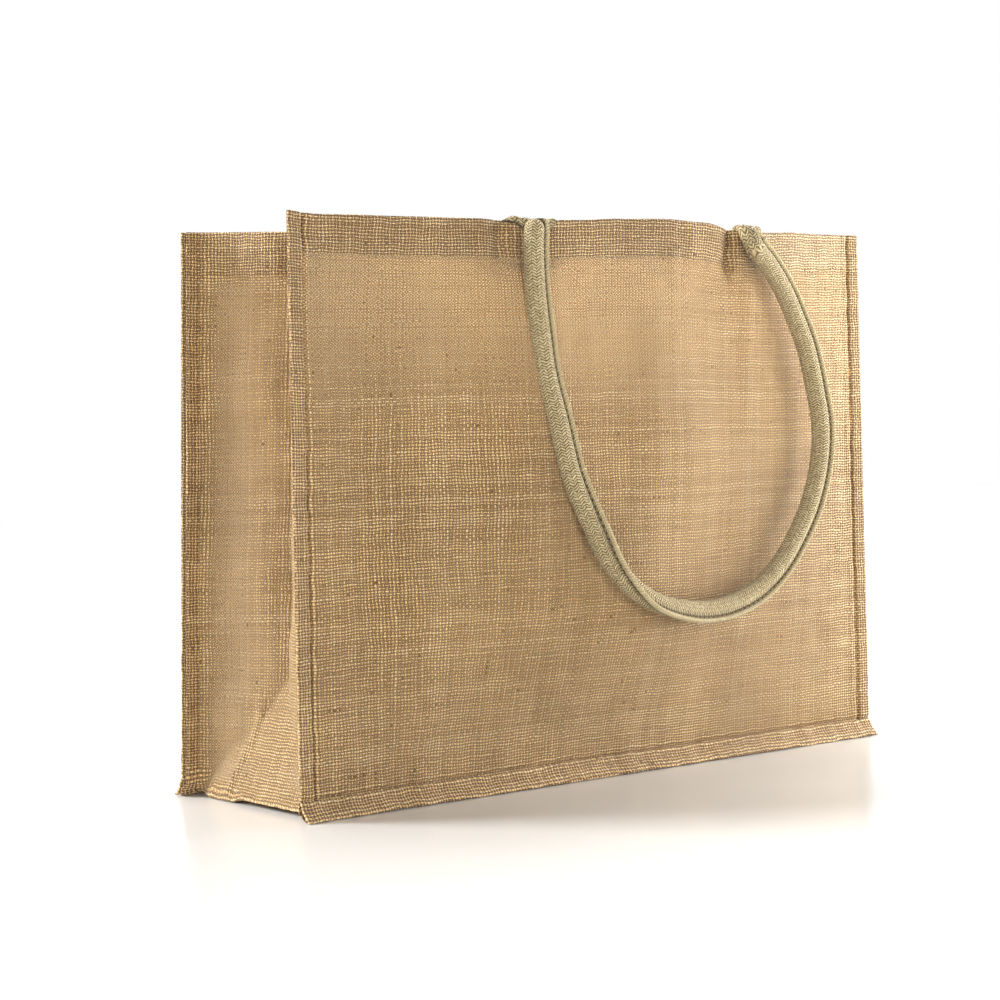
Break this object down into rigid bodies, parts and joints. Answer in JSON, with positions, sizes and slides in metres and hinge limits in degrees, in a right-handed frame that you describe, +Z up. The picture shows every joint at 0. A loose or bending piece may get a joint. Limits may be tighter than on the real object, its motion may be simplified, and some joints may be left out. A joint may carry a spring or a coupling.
{
  "type": "tote bag",
  "caption": "Upright rectangular tote bag of coarse woven cloth with a flat bottom, inward-folded sides, turned-out seam margins and long rope-cored carrying handles.",
  "frame": {"origin": "on the floor, at the centre of the bag's bounding box without the handles' ropes", "axes": "+Z up, -Y out of the front panel, +X to the right as the front is seen"},
  "size_m": [0.4796, 0.2345, 0.35],
  "materials": {
    "jute": "natural undyed jute in an open plain weave",
    "webbing": "natural cotton webbing folded round a rope and stitched"
  },
  "bodies": {
    "root": {"front_panel": "jute", "back_panel": "jute", "gusset": "jute", "handle_front": "webbing", "handle_back": "webbing", "tab_front_left": "webbing", "tab_front_right": "webbing", "tab_back_left": "webbing", "tab_back_right": "webbing"}
  },
  "joints": []
}
